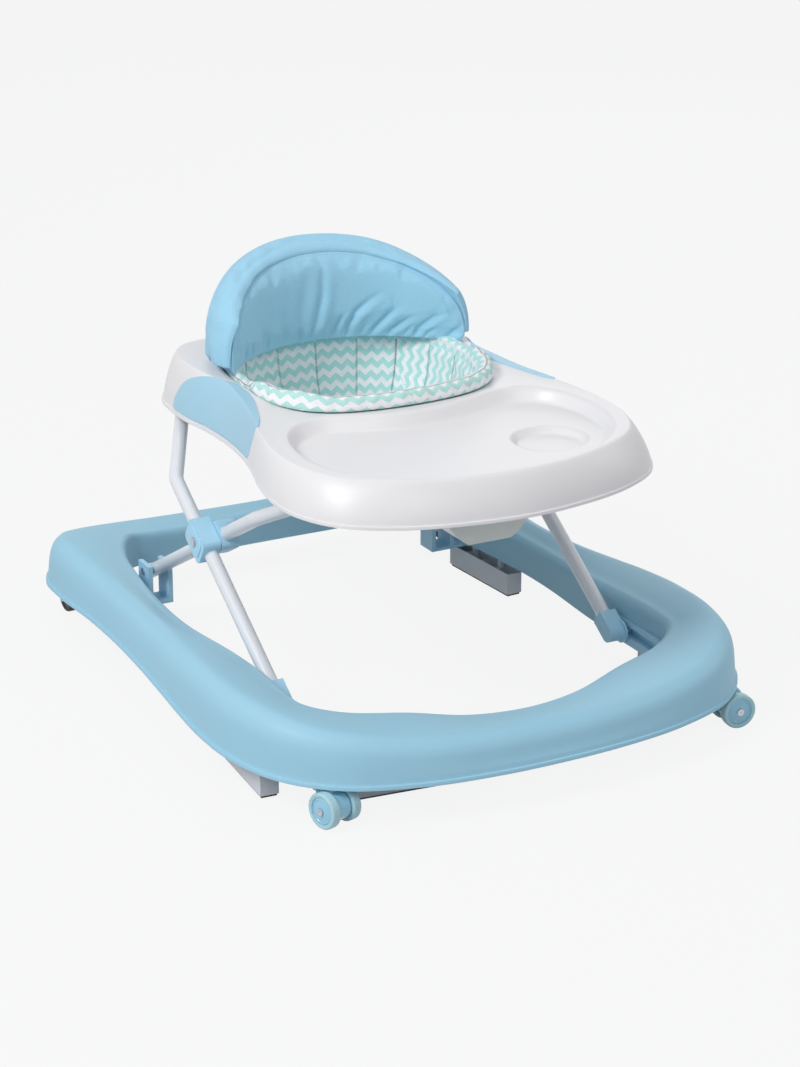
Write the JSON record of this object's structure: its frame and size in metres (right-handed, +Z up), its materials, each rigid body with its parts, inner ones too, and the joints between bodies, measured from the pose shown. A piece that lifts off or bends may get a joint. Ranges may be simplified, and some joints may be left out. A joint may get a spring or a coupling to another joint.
{
  "type": "baby walker",
  "caption": "Folding baby walker: wheeled base ring, scissor frame of bent tubes, tray with a dish and cup recess, hanging quilted seat and curved padded backrest.",
  "frame": {"origin": "on the floor under the middle of the base ring, on the centre plane", "axes": "+Z up, -Y to the front of the walker, +X to the right hand of somebody who looks at the walker from the front"},
  "size_m": [0.567, 0.7203, 0.4233],
  "materials": {
    "blue_shell": "satin moulded",
    "blue_fitting": "satin moulded",
    "white_shell": "polished moulded",
    "inlay_blue": "satin moulded",
    "white_tube": "white powder coat",
    "zinc_steel": "zinc plated",
    "caster_blue": "polished moulded",
    "caster_tyre": "soft tread",
    "black_rubber": "matt",
    "grey_white": "satin moulded",
    "milky_plastic": "frosted",
    "dark_nylon": "satin",
    "seat_fabric": "woven cotton with a zig-zag print",
    "backrest_fabric": "woven polyester",
    "board_plastic": "plain"
  },
  "bodies": {
    "base": {"base_shell": "blue_shell", "left_slide_track": "blue_fitting", "right_slide_track": "blue_fitting", "left_heel_bracket": "blue_fitting", "right_heel_bracket": "blue_fitting", "heel_pins": "zinc_steel", "left_caster_socket": "blue_fitting", "right_caster_socket": "blue_fitting", "front_left_stopper": "grey_white", "front_right_stopper": "grey_white", "side_left_stopper": "grey_white", "side_right_stopper": "grey_white", "rear_left_stopper": "grey_white", "rear_right_stopper": "grey_white", "stopper_soles": "black_rubber", "base_screws": "zinc_steel", "rear_left_wheel_housing": "blue_fitting", "rear_left_axle": "zinc_steel", "rear_right_wheel_housing": "blue_fitting", "rear_right_axle": "zinc_steel"},
    "left_caster": {"left_caster_fork": "caster_blue", "left_caster_axle": "zinc_steel"},
    "left_outer_wheel": {"left_caster_outer_hub": "caster_blue", "left_caster_outer_tyre": "caster_tyre"},
    "left_inner_wheel": {"left_caster_inner_hub": "caster_blue", "left_caster_inner_tyre": "caster_tyre"},
    "rear_left_wheel": {"rear_left_hub": "dark_nylon", "rear_left_tyre": "black_rubber"},
    "right_caster": {"right_caster_fork": "caster_blue", "right_caster_axle": "zinc_steel"},
    "right_outer_wheel": {"right_caster_outer_hub": "caster_blue", "right_caster_outer_tyre": "caster_tyre"},
    "right_inner_wheel": {"right_caster_inner_hub": "caster_blue", "right_caster_inner_tyre": "caster_tyre"},
    "rear_right_wheel": {"rear_right_hub": "dark_nylon", "rear_right_tyre": "black_rubber"},
    "inner_legs": {"inner_leg_frame": "white_tube", "heel_plugs": "dark_nylon", "left_hinge_inner_half": "blue_fitting", "right_hinge_inner_half": "blue_fitting", "hinge_pins": "zinc_steel", "latch_housing": "milky_plastic", "latch_spring": "zinc_steel"},
    "outer_legs": {"outer_leg_frame": "white_tube", "left_foot_cap": "blue_fitting", "right_foot_cap": "blue_fitting", "left_hinge_outer_half": "blue_fitting", "right_hinge_outer_half": "blue_fitting"},
    "latch": {"latch_pawl": "dark_nylon"},
    "tray": {"tray_shell": "white_shell", "left_inlay": "inlay_blue", "right_inlay": "inlay_blue", "rear_bar_clips": "white_shell", "front_guides": "white_shell", "height_rack": "white_shell", "tray_screws": "zinc_steel", "seat": "seat_fabric", "backrest_board": "board_plastic", "backrest_cushion": "backrest_fabric"}
  },
  "joints": [
    {"name": "left_caster_swivel", "type": "hinge", "parent": "base", "child": "left_caster", "pos_m": [-0.222, -0.29, 0.03], "axis": [0, 0, 1], "continuous": true},
    {"name": "left_outer_wheel_spin", "type": "hinge", "parent": "left_caster", "child": "left_outer_wheel", "pos_m": [-0.22953, -0.31089, 0.018], "axis": [0.9613, 0.2756, 0], "continuous": true},
    {"name": "left_inner_wheel_spin", "type": "hinge", "parent": "left_caster", "child": "left_inner_wheel", "pos_m": [-0.20454, -0.30372, 0.018], "axis": [0.9613, 0.2756, 0], "continuous": true},
    {"name": "rear_left_wheel_spin", "type": "hinge", "parent": "base", "child": "rear_left_wheel", "pos_m": [-0.238, 0.305, 0.018], "axis": [1, 0, 0], "continuous": true},
    {"name": "right_caster_swivel", "type": "hinge", "parent": "base", "child": "right_caster", "pos_m": [0.222, -0.29, 0.03], "axis": [0, 0, 1], "continuous": true},
    {"name": "right_outer_wheel_spin", "type": "hinge", "parent": "right_caster", "child": "right_outer_wheel", "pos_m": [0.23854, -0.30481, 0.018], "axis": [0.1045, 0.9945, 0], "continuous": true},
    {"name": "right_inner_wheel_spin", "type": "hinge", "parent": "right_caster", "child": "right_inner_wheel", "pos_m": [0.24126, -0.27895, 0.018], "axis": [0.1045, 0.9945, 0], "continuous": true},
    {"name": "rear_right_wheel_spin", "type": "hinge", "parent": "base", "child": "rear_right_wheel", "pos_m": [0.238, 0.305, 0.018], "axis": [1, 0, 0], "continuous": true},
    {"name": "scissor_fold", "type": "hinge", "parent": "base", "child": "inner_legs", "pos_m": [0, 0.20795, 0.07062], "axis": [1, 0, 0], "range_deg": [-10, 9.5]},
    {"name": "cross_hinge", "type": "hinge", "parent": "inner_legs", "child": "outer_legs", "pos_m": [0, 0.033, 0.166], "axis": [1, 0, 0], "range_deg": [-19, 20]},
    {"name": "tray_pivot", "type": "hinge", "parent": "outer_legs", "child": "tray", "pos_m": [0, 0.20795, 0.27961], "axis": [1, 0, 0], "range_deg": [-10, 9.5]},
    {"name": "latch_release", "type": "slide", "parent": "inner_legs", "child": "latch", "axis": [0, 0, -1], "range_m": [0, 0.007], "stiffness_N_per_m": 400, "springref_m": -0.004, "deforming": ["latch_spring"]}
  ],
  "couplings": [
    {"joint": "cross_hinge", "follows": "scissor_fold", "ratio": -2},
    {"joint": "tray_pivot", "follows": "scissor_fold", "ratio": 1}
  ]
}
